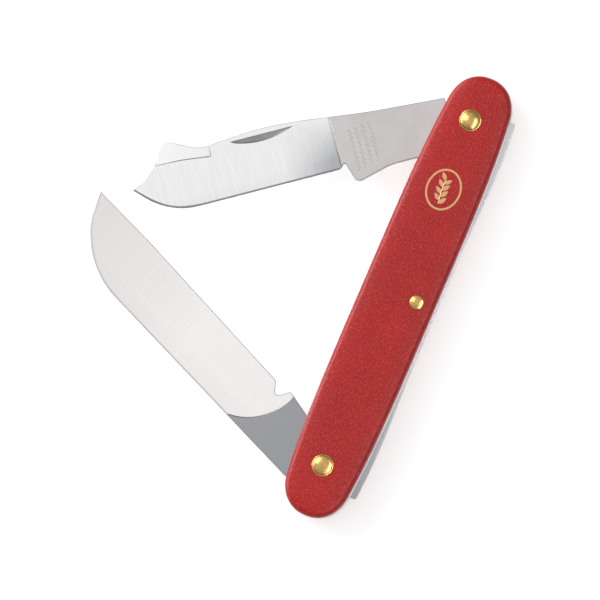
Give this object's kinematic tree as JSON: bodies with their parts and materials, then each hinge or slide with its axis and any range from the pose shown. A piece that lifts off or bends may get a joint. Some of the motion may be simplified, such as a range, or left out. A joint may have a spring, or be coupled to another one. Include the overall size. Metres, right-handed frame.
{
  "type": "folding budding and grafting knife",
  "caption": "Folding knife with a slim riveted handle and a blade at either end: a straight edged grafting blade and a budding blade with a bark lifter on its back.",
  "frame": {"origin": "centre of the rear scale's flat outer face, midway along the handle", "axes": "+X runs along the handle from the grafting blade's pivot to the budding blade's pivot, +Y is the side that the blades fold out of, +Z points out of the front scale"},
  "size_m": [0.1002, 0.0764, 0.0142],
  "materials": {
    "red_nylon": "fine grained moulded texture",
    "liner_metal": "smooth",
    "rivet_brass": "polished",
    "spring_steel": "ground",
    "blade_steel": "satin ground"
  },
  "bodies": {
    "handle": {"front_scale": "red_nylon", "rear_scale": "red_nylon", "front_liner": "liner_metal", "centre_liner": "liner_metal", "rear_liner": "liner_metal", "head_pivot_pin": "rivet_brass", "foot_pivot_pin": "rivet_brass", "spring_pin": "rivet_brass", "head_front_collar": "rivet_brass", "head_rear_collar": "rivet_brass", "foot_front_collar": "rivet_brass", "foot_rear_collar": "rivet_brass"},
    "budding_blade_body": {"budding_blade": "blade_steel"},
    "grafting_blade_body": {"grafting_blade": "blade_steel"},
    "budding_spring_body": {"budding_spring": "spring_steel"},
    "grafting_spring_body": {"grafting_spring": "spring_steel"}
  },
  "joints": [
    {"name": "budding_blade_pivot", "type": "hinge", "parent": "handle", "child": "budding_blade_body", "pos_m": [0.04005, 0.00065, 0.00802], "axis": [0, 0, -1], "range_deg": [-51.6, 128.4]},
    {"name": "grafting_blade_pivot", "type": "hinge", "parent": "handle", "child": "grafting_blade_body", "pos_m": [-0.0389, 0.0005, 0.00516], "axis": [0, 0, 1], "range_deg": [-62.76, 111.64]},
    {"name": "budding_spring_flex", "type": "hinge", "parent": "handle", "child": "budding_spring_body", "pos_m": [0.00035, -0.0041, 0.00802], "axis": [0, 0, -1], "range_deg": [-1.5, 0], "stiffness_Nm_per_rad": 0.05, "deforming": ["budding_spring"]},
    {"name": "grafting_spring_flex", "type": "hinge", "parent": "handle", "child": "grafting_spring_body", "pos_m": [0.00035, -0.0041, 0.00516], "axis": [0, 0, 1], "range_deg": [-1.5, 0], "stiffness_Nm_per_rad": 0.05, "deforming": ["grafting_spring"]}
  ]
}
